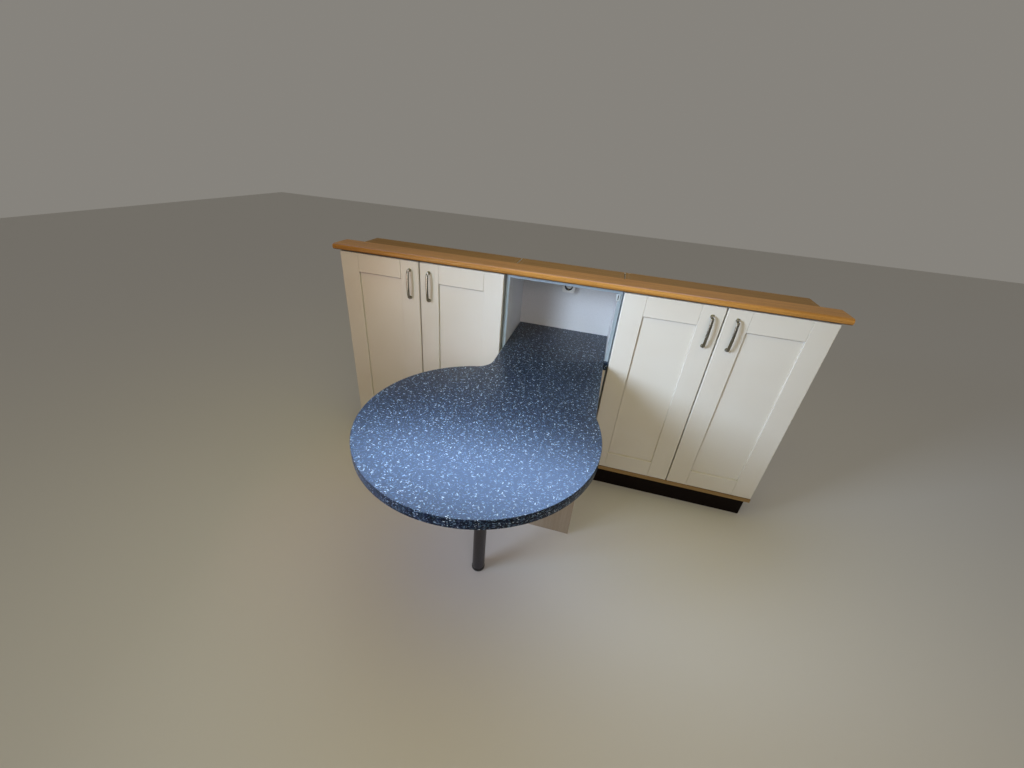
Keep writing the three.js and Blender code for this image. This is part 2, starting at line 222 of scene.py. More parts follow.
def rounded_board(low, high, radius, steps=3):
    """A box with round edges. Each of its six faces is a grid of directions that lean from -45 to 45
    degrees over the edges. A point is the corner of the box shrunk by the radius, on the side that it
    leans to, plus the radius along its direction. The radius is one number in mm, or one for each of the
    low and the high side along x, y and z, which makes the edges oval."""
    low, high = np.asarray(low, float), np.asarray(high, float)
    sides = np.broadcast_to(np.asarray(radius, float) * MM, (3, 2)).T
    sides = np.minimum(sides, (high - low) * 0.49)
    inner = np.stack([low + sides[0], high - sides[1]])
    lean = np.tan(np.linspace(-math.pi / 4, 0, steps + 1))
    slope = np.concatenate([lean, -lean[::-1]])
    side = np.repeat([0, 1], steps + 1)
    slope_b, slope_c = np.meshgrid(slope, slope, indexing="ij")
    side_b, side_c = np.meshgrid(side, side, indexing="ij")
    quads = grid_faces(len(slope), len(slope), False)
    shapes = []
    for axis in range(3):
        b, c = (axis + 1) % 3, (axis + 2) % 3
        for end, sign in enumerate((-1, 1)):
            way = np.zeros(slope_b.shape + (3,))
            corner = np.zeros_like(way)
            reach = np.zeros_like(way)
            way[..., axis], way[..., b], way[..., c] = sign, slope_b, slope_c
            way /= np.linalg.norm(way, axis=-1, keepdims=True)
            for place, side_of in ((axis, end), (b, side_b), (c, side_c)):
                corner[..., place] = inner[side_of, place]
                reach[..., place] = sides[side_of, place]
            shapes.append(((corner + reach * way).reshape(-1, 3), quads))
    return together(shapes)


def turned_rings(profile, centre, axis, segments):
    """A profile of radius and height pairs, in mm, turned about an axis: a point is the radius times the
    cosine and sine of its angle across the axis, and the height along it, from a centre in metres."""
    radius, height = np.asarray(profile, float).T * MM
    angle = np.linspace(0, 2 * math.pi, segments, endpoint=False)
    across = radius[:, None] * np.cos(angle), radius[:, None] * np.sin(angle)
    along = np.repeat(height[:, None], segments, axis=1)
    order = {"x": (along, *across), "y": (across[0], along, across[1]), "z": (*across, along)}[axis]
    return np.stack(order, axis=-1) + np.asarray(centre, float)


def turned(profile, centre, axis="z", segments=64):
    """A turned profile with one flat face over each end."""
    return shell(turned_rings(profile, centre, axis, segments))


def hollow_ring(profile, centre, axis, segments=64):
    """A closed profile turned about an axis, whose last row of faces joins the profile's end to its
    start."""
    rings = turned_rings(profile, centre, axis, segments)
    return rings.reshape(-1, 3), grid_faces(*rings.shape[:2], True, True)


def arc(x, y, radius, start, end, count):
    """Points at equal angles on a circle about x and y, from one angle to another."""
    angle = np.linspace(start, end, count)
    return np.stack([x + radius * np.cos(angle), y + radius * np.sin(angle)], axis=-1)


def worktop_outline():
    """The worktop seen from above, in metres: straight in the niche and along the stem, a concave fillet on
    the left, the round end, a flatter shoulder up to the stem on the right, and an ear before the niche's
    right side. The fillet's centre lies the sum of both radii from the round end's, and the shoulder's
    lies the difference from it on the line through the shoulder's start, so no corner shows between
    them."""
    low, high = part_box("worktop")
    round_x, round_y = low.x / MM + TABLE_RADIUS, low.y / MM + TABLE_RADIUS
    door, carcass, rear = DOOR_FACE / MM, DOOR_FACE / MM + EAR_DEPTH, high.y / MM
    fillet_x = -STEM_HALF - STEM_FILLET
    fillet_y = round_y + math.sqrt((TABLE_RADIUS + STEM_FILLET) ** 2 - (fillet_x - round_x) ** 2)
    meeting = math.atan2(fillet_y - round_y, fillet_x - round_x)
    offset = TABLE_RADIUS - SHOULDER_RADIUS
    shoulder_x = round_x + offset * math.cos(SHOULDER_START)
    shoulder_y = round_y + offset * math.sin(SHOULDER_START)
    shoulder_end = math.acos((STEM_HALF - shoulder_x) / SHOULDER_RADIUS)
    right = [
        (STEM_HALF, door), (EAR_HALF, door), (EAR_HALF, carcass), (STEM_HALF, carcass), (STEM_HALF, rear),
    ]
    return MM * np.concatenate([
        [(-STEM_HALF, rear)],
        arc(fillet_x, fillet_y, STEM_FILLET, 0, meeting - math.pi, 24),
        arc(round_x, round_y, TABLE_RADIUS, meeting, 2 * math.pi + SHOULDER_START, 240)[1:],
        arc(shoulder_x, shoulder_y, SHOULDER_RADIUS, SHOULDER_START, shoulder_end, 40)[1:],
        right,
    ])


def inset(outline, distance):
    """A closed outline moved inwards: each point goes along the sum of its two edges' unit normals, scaled
    so that both edges move by the distance. The outline runs anticlockwise."""
    ahead = np.roll(outline, -1, axis=0) - outline
    ahead /= np.linalg.norm(ahead, axis=1, keepdims=True)
    inward = np.stack([-ahead[:, 1], ahead[:, 0]], axis=1)
    total = inward + np.roll(inward, 1, axis=0)
    return outline + distance * 2 * total / (total ** 2).sum(axis=1, keepdims=True)


def slab(outline, bottom, top, arris):
    """An outline raised to a slab with round arrises: quarter circles from the bottom face to the side and
    from the side to the top face. Each of their rings is set in by the arris times one less the sine of
    its angle, and lies off the face by the arris times one less the cosine."""
    angle = np.linspace(0, math.pi / 2, 5)
    set_in = arris * MM * (1 - np.sin(angle))
    rise = arris * MM * (1 - np.cos(angle))
    levels = [(depth, bottom + up) for depth, up in zip(set_in, rise)]
    levels += [(depth, top - up) for depth, up in zip(set_in[::-1], rise[::-1])]
    rings = [np.column_stack([inset(outline, depth), np.full(len(outline), z)]) for depth, z in levels]
    return shell(np.array(rings))


def bow_route():
    """The middle line of a bow handle as height and depth pairs, in mm: a leg straight out of the door, a
    corner arc that touches both the leg and the bow, a bow on a wide circle, and the same again."""
    bow_depth = BOW_PROJECTION - BOW_RADIUS
    corner_high = BOW_HALF - BOW_CORNER
    corner_deep = bow_depth + math.sqrt((BOW_RADIUS - BOW_CORNER) ** 2 - corner_high ** 2)
    touch = math.atan2(corner_deep - bow_depth, corner_high)
    return np.concatenate([
        [(BOW_HALF, 0)],
        arc(corner_high, corner_deep, BOW_CORNER, 0, touch, 12),
        arc(0, bow_depth, BOW_RADIUS, touch, math.pi - touch, 40)[1:-1],
        arc(-corner_high, corner_deep, BOW_CORNER, math.pi - touch, math.pi, 12),
        [(-BOW_HALF, 0)],
    ])


def bow_handle(x, z):
    """A bar swept along the bow's route. Its section is a superellipse, an oval with a flattened front,
    that is thinnest in the bow, and swells by a bell curve of the distance from its end into a collar on
    the door."""
    route = bow_route()
    length = np.concatenate([[0], np.cumsum(np.linalg.norm(np.diff(route, axis=0), axis=1))])
    even = np.linspace(0, length[-1], BOW_STEPS)
    high, deep = np.interp(even, length, route[:, 0]), np.interp(even, length, route[:, 1])
    ahead = np.stack([np.gradient(high), np.gradient(deep)], axis=1)
    ahead /= np.linalg.norm(ahead, axis=1, keepdims=True)
    ahead[0], ahead[-1] = (0, 1), (0, -1)
    from_end = np.minimum(even, even[-1] - even)
    in_bow = np.clip((from_end - BOW_LEG) / BOW_BLEND, 0, 1)
    collar = np.exp(-(from_end / BOW_COLLAR) ** 4)
    half_wide, half_thick = [
        leg + more * in_bow + swell * collar for leg, more, swell in (BOW_HALF_WIDE, BOW_HALF_THICK)
    ]
    angle = np.linspace(0, 2 * math.pi, BOW_SIDES, endpoint=False)
    share = 2 / BOW_SECTION_POWER
    wide = half_wide[:, None] * np.sign(np.cos(angle)) * np.abs(np.cos(angle)) ** share
    thick = half_thick[:, None] * np.sign(np.sin(angle)) * np.abs(np.sin(angle)) ** share
    px = x / MM + wide
    py = DOOR_FACE / MM - deep[:, None] + thick * ahead[:, :1]
    pz = z / MM + high[:, None] - thick * ahead[:, 1:]
    return shell(MM * np.stack([px, py, pz], axis=-1))


def stepped_panel(low, high, left_groove):
    """A door panel as a stack of rectangular rings: its tongue, which the frame holds, and a field that
    stands forward of the tongue and stops short of the frame, so that a groove runs round it, widest at
    the top and closed on the right."""
    # Columns: distance in from the panel's edge, share of the groove, distance behind its front face
    rows = [
        (0, 0, (high.y - low.y) / MM), (0, 0, PANEL_STEP), (PANEL_TONGUE, 1, PANEL_STEP),
        (PANEL_TONGUE, 1, PANEL_ARRIS), (PANEL_TONGUE + PANEL_ARRIS, 1, 0),
    ]
    rings = []
    for inward, share, behind in rows:
        x0 = low.x + (inward + share * left_groove) * MM
        x1 = high.x - (inward + share * PANEL_SEAM) * MM
        z0 = low.z + (inward + share * PANEL_LOW_GROOVE) * MM
        z1 = high.z - (inward + share * PANEL_TOP_GROOVE) * MM
        y = low.y + behind * MM
        rings.append([(x0, y, z0), (x1, y, z0), (x1, y, z1), (x0, y, z1)])
    return shell(np.array(rings))


def socket_shell(low, high):
    """The socket's box with its round well, as rings about the middle line. A ring is a circle in the well
    and a superellipse on the box, whose radius is the nth root of one over the sum of the nth powers of
    cosine and sine."""
    centre_x, centre_z = (low.x + high.x) / 2, (low.z + high.z) / 2
    half = (high.x - low.x) / 2 / MM
    depth = (high.y - low.y) / MM
    angle = np.linspace(0, 2 * math.pi, 96, endpoint=False)
    power = SOCKET_CORNER_POWER
    square = (np.abs(np.cos(angle)) ** power + np.abs(np.sin(angle)) ** power) ** (-1 / power)
    # Columns: radius, share of the square, distance behind the front face
    rows = [
        (SOCKET_WELL - 1.5, 0, SOCKET_WELL_DEPTH), (SOCKET_WELL - 0.5, 0, SOCKET_WELL_DEPTH - 1),
        (SOCKET_WELL, 0, 2), (SOCKET_WELL + 0.3, 0, 0.8), (SOCKET_WELL + 1.2, 0, 0.2),
        (half - 7, 0.7, 0.2), (half - 4, 1, 0.5), (half - 1.4, 1, 2), (half - 0.3, 1, 5),
        (half, 1, 9), (half, 1, depth),
    ]
    rings = []
    for radius, share, behind in rows:
        reach = np.minimum(radius * (1 - share + share * square), half * square)
        rings.append(np.stack([
            centre_x + MM * reach * np.cos(angle),
            np.full_like(angle, low.y + MM * behind),
            centre_z + MM * reach * np.sin(angle),
        ], axis=-1))
    return shell(np.array(rings))


def ledge_shell(low, high):
    """The ledge's section, a board with a half-round nose, run along x between two flat ends."""
    radius = (high.z - low.z) / 2
    nose = arc(low.y + radius, low.z + radius, radius, math.pi / 2, 3 * math.pi / 2, 33)
    # A second point just behind the nose keeps the nose's smooth shading off the flat faces
    beside = radius * 0.1
    top = [(high.y, high.z), (low.y + radius + beside, high.z)]
    under = [(low.y + radius + beside, low.z), (high.y, low.z)]
    section = np.concatenate([top, nose, under])
    rings = [np.column_stack([np.full(len(section), x), section]) for x in (low.x, high.x)]
    return shell(np.array(rings))


# Materials

def linear(colour):
    """An sRGB hex colour as linear red, green, blue and alpha."""
    share = np.array([int(colour[place:place + 2], 16) for place in (1, 3, 5)]) / 255
    value = np.where(share <= 0.04045, share / 12.92, ((share + 0.055) / 1.055) ** 2.4)
    return (*value.tolist(), 1.0)


def node(tree, kind, links=None, **settings):
    """Adds one shader node: settings are its properties, and links give each input socket a value, a hex
    colour or the output that feeds it."""
    made = tree.nodes.new("ShaderNode" + kind)
    for name, value in settings.items():
        setattr(made, name, value)
    for key, value in (links or {}).items():
        if isinstance(value, bpy.types.NodeSocket):
            tree.links.new(value, made.inputs[key])
        else:
            made.inputs[key].default_value = linear(value) if isinstance(value, str) else value
    return made


def blank(name, colour, roughness, metallic=0.0):
    """A new material with one Principled shader: returns the material, its tree and the shader."""
    material = bpy.data.materials.new(name)
    material.use_nodes = True
    shader = material.node_tree.nodes["Principled BSDF"]
    shader.inputs["Base Color"].default_value = linear(colour)
    shader.inputs["Roughness"].default_value = roughness
    shader.inputs["Metallic"].default_value = metallic
    return material, material.node_tree, shader


def pattern(tree, cell_mm, detail=3.0, distortion=0.0):
    """Noise from 0 to 1 whose features are about cell_mm long in x, y and z."""
    place = node(tree, "TexCoord").outputs["Object"]
    scale = [1 / (MM * cell) for cell in cell_mm]
    scaled = node(tree, "Mapping", {"Vector": place, "Scale": scale}).outputs["Vector"]
    made = node(tree, "TexNoise", {
        "Vector": scaled, "Scale": 1.0, "Detail": detail, "Distortion": distortion,
    })
    return made.outputs["Fac"]


def mottled(tree, value, first, second, low=0.3, high=0.7, most=1.0):
    """A colour that goes from the first towards the second, by the most share, as a value goes from low
    to high."""
    links = {"Value": value, "From Min": low, "From Max": high, "To Max": most}
    share = node(tree, "MapRange", links).outputs["Result"]
    return node(tree, "Mix", {0: share, 6: first, 7: second}, data_type="RGBA").outputs[2]


def surface(tree, shader, height, depth_mm, roughness=None):
    """Lets a pattern from 0 to 1 raise the surface by a real depth and, where a pair of values is given,
    take the roughness from one to the other."""
    bump = node(tree, "Bump", {"Height": height, "Distance": depth_mm * MM, "Strength": 1.0})
    tree.links.new(bump.outputs["Normal"], shader.inputs["Normal"])
    if roughness:
        low, high = roughness
        links = {"Value": height, "From Min": 0.3, "From Max": 0.7, "To Min": low, "To Max": high}
        tree.links.new(node(tree, "MapRange", links).outputs["Result"], shader.inputs["Roughness"])


def foiled_fibreboard():
    """Cream vinyl foil drawn over fibreboard: satin, almost flat, with a faint uneven sheen."""
    material, tree, shader = blank("foiled_fibreboard_cream", "#dcd8cd", 0.34)
    cloud = pattern(tree, (260, 260, 260), 2.0)
    tree.links.new(mottled(tree, cloud, "#dad5c9", "#dedbd1"), shader.inputs["Base Color"])
    surface(tree, shader, pattern(tree, (1.6, 1.6, 5.0), 3.0), 0.02, (0.30, 0.38))
    return material


def melamine_board():
    """White melamine paper pressed on chipboard: dull white with a fine pearl texture."""
    material, tree, shader = blank("melamine_board_white", "#d9dad8", 0.45)
    cloud = pattern(tree, (180, 180, 180), 2.0)
    tree.links.new(mottled(tree, cloud, "#d5d6d4", "#dcdddc"), shader.inputs["Base Color"])
    surface(tree, shader, pattern(tree, (1.4, 1.4, 1.4), 2.0), 0.03)
    return material


def plastic_edging():
    """ABS edge band, ironed on and trimmed: white, and smoother than the board it closes. Its cool grey is
    painted shade with a painted blue cast of skylight on the forward-facing edges.
    """
    material, tree, shader = blank("white_abs_edging_painted_cool_shade", "#98a4a9", 0.3)
    streak = pattern(tree, (2.0, 2.0, 60.0), 2.0)
    tree.links.new(mottled(tree, streak, "#939fa4", "#9dabb0"), shader.inputs["Base Color"])
    surface(tree, shader, streak, 0.01)
    return material


def painted_hardboard():
    """Hardboard with a white face: matt, with a slight fibre texture."""
    material, tree, shader = blank("hardboard_white", "#d8d8d4", 0.6)
    fibre = pattern(tree, (3.0, 3.0, 3.0), 4.0)
    tree.links.new(mottled(tree, fibre, "#d3d3cf", "#dcdcd8"), shader.inputs["Base Color"])
    surface(tree, shader, fibre, 0.04)
    return material


def grained_wood(name, dark, light, pore, along, roughness, gloss=0.5):
    """Sawn wood with its grain along x, y or z (0, 1 or 2): broad bands of tone, fine fibres and short
    dark pores, all stretched along the grain. Its shine is that of the varnish, oil or stain over them.
    Fibres and pores are drawn wider than real ones, so that they show."""
    material, tree, shader = blank(name, light, roughness)
    shader.inputs["Specular IOR Level"].default_value = gloss
    sizes = {"band": [9, 9, 9], "fibre": [1.6, 1.6, 1.6], "pore": [0.9, 0.9, 0.9]}
    sizes["band"][along], sizes["fibre"][along], sizes["pore"][along] = 420, 70, 14
    links = {"Value": pattern(tree, sizes["fibre"], 3.0), "From Min": 0.25, "From Max": 0.75}
    fibre = node(tree, "MapRange", links).outputs["Result"]
    tone = mottled(tree, pattern(tree, sizes["band"], 4.0, 0.8), dark, light)
    tone = mottled(tree, fibre, tone, dark, 0.0, 1.0, 0.35)
    tone = mottled(tree, pattern(tree, sizes["pore"], 1.0), tone, pore, 0.62, 0.72, 0.6)
    tree.links.new(tone, shader.inputs["Base Color"])
    surface(tree, shader, fibre, 0.02)
    return material


def speckled_laminate(name, dimensions, shrink=1.0, swell=1.0):
    """High-pressure laminate, satin: a blue-black ground strewn with pale shreds up to 9 mm long over many
    dimmer ones. Each layer has its shreds in its own direction: stretched cells, part of them filled up to
    a radius of their own. The top is cut from one flat sheet, and its pattern is flat too; the edge's is
    solid, in smaller cells (shrink) with fuller shreds (swell), as a surface cuts few of them in half."""
    material, tree, shader = blank(name, "#1a2434", 0.32)
    gloss = LAMINATE_GLOSS if dimensions == "2D" else EDGE_BAND_GLOSS
    shader.inputs["Specular IOR Level"].default_value = gloss
    place = node(tree, "TexCoord").outputs["Object"]
    wobble = node(tree, "TexNoise", {"Vector": place, "Scale": 1 / (6.0 * MM), "Detail": 2.0})
    links = {0: wobble.outputs["Color"], 1: (0.5, 0.5, 0.5)}
    centred = node(tree, "VectorMath", links, operation="SUBTRACT").outputs["Vector"]
    shift = node(tree, "VectorMath", {0: centred, "Scale": 3.0 * MM}, operation="SCALE").outputs["Vector"]
    bent = node(tree, "VectorMath", {0: place, 1: shift}, operation="ADD").outputs["Vector"]
    colour = mottled(tree, pattern(tree, (8, 8, 8), 4.0), "#060c19", "#111f38", 0.38, 0.62)
    # Columns: direction in degrees, cell length and width in mm, share left empty, largest radius, colour.
    # The direction also shifts a layer, so that no two have their cells in the same places
    layers = [
        (20, 22, 6.0, 0.25, 0.22, "#4f6683"), (68, 21, 5.5, 0.25, 0.21, "#5f6685"),
        (112, 22, 6.0, 0.25, 0.22, "#4f7085"), (158, 21, 5.5, 0.25, 0.21, "#7088a5"),
        (5, 36, 10.5, 0.40, 0.135, "#dcedff"), (48, 38, 10.0, 0.40, 0.13, "#acc8e0"),
        (95, 37, 10.5, 0.40, 0.13, "#e0f0ff"), (140, 36, 10.0, 0.40, 0.135, "#9ab8d6"),
        (172, 27, 8.5, 0.45, 0.13, "#c8def2"),
    ]
    for degrees, length, width, empty, most, fleck in layers:
        angle = math.radians(degrees)
        around = node(tree, "VectorRotate", {"Vector": bent, "Angle": angle}, rotation_type="Z_AXIS")
        cell = node(tree, "Mapping", {
            "Vector": around.outputs["Vector"], "Location": (degrees, 0, 0),
            "Scale": [1 / (size * shrink * MM) for size in (length, width, width)],
        })
        links = {"Vector": cell.outputs["Vector"], "Scale": 1.0}
        voronoi = node(tree, "TexVoronoi", links, voronoi_dimensions=dimensions)
        chance = node(tree, "SeparateColor", {"Color": voronoi.outputs["Color"]})
        links = {"Value": chance.outputs["Red"], "From Min": empty, "To Max": most * swell}
        radius = node(tree, "MapRange", links).outputs["Result"]
        inner = node(tree, "Math", {0: radius, 1: 0.75}, operation="MULTIPLY").outputs["Value"]
        links = {"Value": voronoi.outputs["Distance"], "From Min": radius, "From Max": inner}
        mask = node(tree, "MapRange", links).outputs["Result"]
        links = {"Value": chance.outputs["Green"], "To Min": 0.45}
        strength = node(tree, "MapRange", links).outputs["Result"]
        share = node(tree, "Math", {0: mask, 1: strength}, operation="MULTIPLY").outputs["Value"]
        colour = node(tree, "Mix", {0: share, 6: colour, 7: fleck}, data_type="RGBA").outputs[2]
    tree.links.new(colour, shader.inputs["Base Color"])
    surface(tree, shader, pattern(tree, (1.5, 1.5, 1.5), 2.0), 0.01)
    return material


def backing_paper():
    """Brown kraft backing under the worktop: matt and slightly cloudy."""
    material, tree, shader = blank("kraft_backing", "#6b5642", 0.75)
    cloud = pattern(tree, (30, 30, 30), 4.0)
    tree.links.new(mottled(tree, cloud, "#604c39", "#75604a"), shader.inputs["Base Color"])
    surface(tree, shader, pattern(tree, (1.2, 1.2, 1.2), 2.0), 0.03)
    return material


def drawn_metal(name, colour, roughness, along):
    """Metal drawn or brushed along x, y or z (0, 1 or 2): lines in the roughness and the relief, which
    stretch each highlight across them. They are half a millimetre wide, coarser than real ones, so that
    they show."""
    material, tree, shader = blank(name, colour, roughness, 1.0)
    size = [0.5, 0.5, 0.5]
    size[along] = 30
    surface(tree, shader, pattern(tree, size, 2.0), 0.004, (roughness - 0.05, roughness + 0.07))
    return material


def moulded_plastic(name, colour, roughness):
    """Moulded plastic: one colour and a broken shine, from the grit of a spark-eroded mould, which is drawn
    coarser than the real one so that it shows."""
    material, tree, shader = blank(name, colour, roughness)
    surface(tree, shader, pattern(tree, (0.7, 0.7, 0.7), 2.0), 0.01, (roughness - 0.04, roughness + 0.05))
    return material


# Columns of the woods: name, darker and lighter tone, pores, axis of the grain, roughness, gloss. Those of
# the metals: name, colour, roughness, axis of the lines
FINISH = {
    "foil": foiled_fibreboard(),
    "melamine": melamine_board(),
    "edging": plastic_edging(),
    "hardboard": painted_hardboard(),
    # Varnished hardwood: warm orange-brown with a satin shine
    "ledge_wood": grained_wood("varnished_hardwood", "#a57233", "#cf984f", "#6b4722", 0, 0.36, 0.18),
    # The same wood underneath, drawn dark and dull: painted shade under the ledge
    "underside": grained_wood("ledge_underside_painted_shade", "#4a3018", "#5c3d20", "#33200f", 0, 0.6, 0.2),
    # Oiled oak: matt and yellow-brown
    "oak": grained_wood("oiled_oak", "#86693c", "#a98a58", "#5e4626", 0, 0.5),
    # Dark brown board, drawn nearly black: its own brown plus painted shade from the recess under the unit,
    # and too dull to mirror anything
    "dark_wood": grained_wood("dark_brown_board_painted_shade", "#0e0704", "#160c08", "#090402", 0, 0.65, 0.12),
    # Veneer that balances a board where it isn't seen: plain mid-brown
    "veneer": grained_wood("balancing_veneer", "#8f6a3a", "#ab8650", "#6e4c26", 0, 0.6, 0.2),
    # Sanded birch plywood: pale and matt, with upright grain
    "plywood": grained_wood("birch_plywood", "#9c8f7b", "#ab9e8a", "#85776a", 2, 0.6, 0.3),
    "laminate": speckled_laminate("high_pressure_laminate", "2D"),
    "laminate_edge": speckled_laminate("laminate_edge_band", "3D", 0.6, 2.2),
    "backing": backing_paper(),
    # Brushed nickel plate: soft grey with long highlights, drawn darker than bare nickel as painted
    # reflection of the dim room that it mirrors
    "nickel": drawn_metal("satin_nickel", "#8d8b82", 0.22, 2),
    # Brushed steel tube: darker and bluer than bare steel, as painted reflection of the dark floor, the
    # room and the cool daylight that it mirrors
    "leg_steel": drawn_metal("satin_steel_tube", "#59585c", 0.3, 2),
    # Pressed steel with a bright nickel plate
    "hinge_steel": drawn_metal("nickel_plated_steel", "#a9abae", 0.28, 1),
    # Rolled brass: a yellow glint in the dark well of the socket
    "brass": drawn_metal("brass_contact", "#b08d4a", 0.3, 1),
    # Moulded polyamide: black with a soft shine
    "black": moulded_plastic("polyamide_black", "#0c0c0e", 0.28),
    # Near-black finish: painted shade inside small holes and slots, where little light falls, and the dark
    # lining of the socket's well
    "slot": moulded_plastic("painted_shade_in_recesses", "#1b1a19", 0.6),
    # Pressed urea resin: warm white and glossy
    "socket": moulded_plastic("urea_resin_white", "#e6e4da", 0.28),
    # Moulded acetal: cool white
    "catch": moulded_plastic("acetal_white", "#bcc5c6", 0.35),
}


# Placing pieces

def closed_object(name, shape):
    """A shape as an object in the scene: its points merged where they meet, its faces turned outwards."""
    points, faces = shape
    mesh = bpy.data.meshes.new(name)
    mesh.from_pydata(points.tolist(), [], faces)
    work = bmesh.new()
    work.from_mesh(mesh)
    bmesh.ops.remove_doubles(work, verts=work.verts, dist=MERGE_DISTANCE)
    bmesh.ops.recalc_face_normals(work, faces=work.faces)
    work.to_mesh(mesh)
    work.free()
    made = bpy.data.objects.new(name, mesh)
    bpy.context.scene.collection.objects.link(made)
    return made


def piece(name, shape, finish, body, stands_for=(), smooth=True):
    """Makes a shape one piece, gives it its finish and lets it ride on a body. Faces of more than four
    corners stay flat."""
    made = closed_object(name, shape)
    mesh = made.data
    mesh.polygons.foreach_set("use_smooth", [smooth and len(face.vertices) <= 4 for face in mesh.polygons])
    if smooth:
        mesh.set_sharp_from_angle(angle=SHARP_ANGLE)
    mesh.materials.append(FINISH[finish])
    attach(made, body)
    if stands_for:
        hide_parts(*stands_for)
    return made


def dress(node_name, finish):
    """Gives a CAD node that keeps its own shape its finish."""
    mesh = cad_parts[node_name].data
    mesh.materials.clear()
    mesh.materials.append(FINISH[finish])


def drill(board, shapes):
    """Cuts each shape out of a board and keeps the cut mesh."""
    cutters = []
    for number, shape in enumerate(shapes):
        cutter = closed_object("cutter_%d" % number, shape)
        change = board.modifiers.new("drill", "BOOLEAN")
        change.object, change.operation, change.solver = cutter, "DIFFERENCE", "EXACT"
        cutters.append(cutter)
    graph = bpy.context.evaluated_depsgraph_get()
    cut = bpy.data.meshes.new_from_object(board.evaluated_get(graph))
    board.modifiers.clear()
    board.data = cut
    for cutter in cutters:
        bpy.data.objects.remove(cutter)


def member_edges(low, high, door_low, door_high):
    """The edge radius on each side of a frame member: soft where the member's side is the door's own edge,
    and crisp where it meets another member or the panel. The stile on the right is rounder towards the
    panel, and catches the light there."""
    radii = np.full((3, 2), JOINT_EDGE)
    radii[1] = DOOR_EDGE
    for axis in (0, 2):
        if abs(low[axis] - door_low[axis]) < SAME_SIDE * MM:
            radii[axis, 0] = DOOR_EDGE
        if abs(high[axis] - door_high[axis]) < SAME_SIDE * MM:
            radii[axis, 1] = DOOR_EDGE
    if radii[0, 1] == DOOR_EDGE:
        radii[0, 0] = RIGHT_STILE_EDGE
    return radii


def make_doors():
    """Four doors: frame members with soft outer edges, stepped panels, handles and hinge cups."""
    members = ("lock_stile", "top_rail", "bottom_rail", "hinge_stile")
    for number in (1, 2, 3, 4):
        body = "door_%d" % number
        slack = DOOR_SLACKS[number - 1] * MM
        boxes = {member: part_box("%s_%s" % (body, member)) for member in members}
        door_low = np.min([low for low, _ in boxes.values()], axis=0)
        door_high = np.max([high for _, high in boxes.values()], axis=0)
        made = {}
        for member, (low, high) in boxes.items():
            node_name = "%s_%s" % (body, member)
            low.x = max(low.x, door_low[0] + slack)
            high.x = min(high.x, door_high[0] - slack)
            shape = rounded_board(low, high, member_edges(low, high, door_low, door_high))
            name = node_name + "_foiled"
            made[member] = piece(name, shape, "foil", body, [node_name], smooth=False)
        cup_low, cup_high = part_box(body + "_hinge_cup_upper")
        inward = 1 if number in (1, 3) else -1
        outer_rim = cup_low.x if inward > 0 else cup_high.x
        cup_x = outer_rim + inward * CUP_RADIUS * MM
        bore = [(CUP_BORE_RADIUS, CUP_BORE_FLOOR), (CUP_BORE_RADIUS, CUP_BORE_END)]
        bores = [turned(bore, (cup_x, DOOR_FACE, z), "y", 48) for z in HINGE_HEIGHTS]
        drill(made["hinge_stile"], bores)
        panel = stepped_panel(*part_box(body + "_panel"), PANEL_LEFT_GROOVES[number - 1])
        piece(body + "_stepped_panel", panel, "foil", body, [body + "_panel"], smooth=False)
        low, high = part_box(body + "_handle")
        bow = bow_handle((low.x + high.x) / 2, (low.z + high.z) / 2)
        piece(body + "_bow_handle", bow, "nickel", body, [body + "_handle"])
        for place in ("upper", "lower"):
            dress("%s_hinge_cup_%s" % (body, place), "hinge_steel")


def veneer_top(board):
    """Gives the faces of a board that lie at the very top of the unit plain veneer in place of white."""
    board.data.materials.append(FINISH["veneer"])
    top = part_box("back_board")[1].z
    for polygon in board.data.polygons:
        if polygon.normal.z > LEVEL and polygon.center.z > top - TOP_REACH * MM:
            polygon.material_index = len(board.data.materials) - 1


def edged_board(node_name, low, high):
    """A board and the band on its front edge, from the board's corners in metres."""
    front = low.y + EDGING * MM
    shape = rounded_board((low.x, front, low.z), high, BOARD_ARRIS, 1)
    name = node_name + "_board"
    board = piece(name, shape, "melamine", "root", [node_name], smooth=False)
    veneer_top(board)
    band = rounded_board(low, (high.x, front, high.z), EDGING_ROUND, 2)
    piece(node_name + "_edging", band, "edging", "root", smooth=False)
    return board


def hinge_arms(node_name, face_x, inward):
    """Mounting plates and arms of the two hinges on a side board, whose inner face is at face_x."""
    # Columns: start and end from the board's face, front and rear from the door's face, half the height
    parts = [(-0.5, 3, 50, 82, 24), (2.5, 14, 38, 95, 8), (4, 14, 21.8, 40, 8), (4, 30, 21.8, 23.8, 6)]
    shapes = []
    for z in HINGE_HEIGHTS:
        for start, end, front, rear, half in parts:
            xs = sorted((face_x + inward * start * MM, face_x + inward * end * MM))
            low = (xs[0], DOOR_FACE + front * MM, z - half * MM)
            high = (xs[1], DOOR_FACE + rear * MM, z + half * MM)
            shapes.append(rounded_board(low, high, ARM_EDGE))
        for off in (-ARM_SCREW_OFF, ARM_SCREW_OFF):
            spot = (face_x, DOOR_FACE + ARM_SCREW_BACK * MM, z + off * MM)
            # Columns: radius, height above the board's face
            head = [(1.0, 4.6), (2.6, 4.3), (3.6, 3.6), (4.0, 2.8)]
            profile = [(radius, inward * height) for radius, height in head]
            shapes.append(turned(profile, spot, "x", 20))
    piece(node_name + "_hinge_arms", together(shapes), "hinge_steel", "root", [node_name])


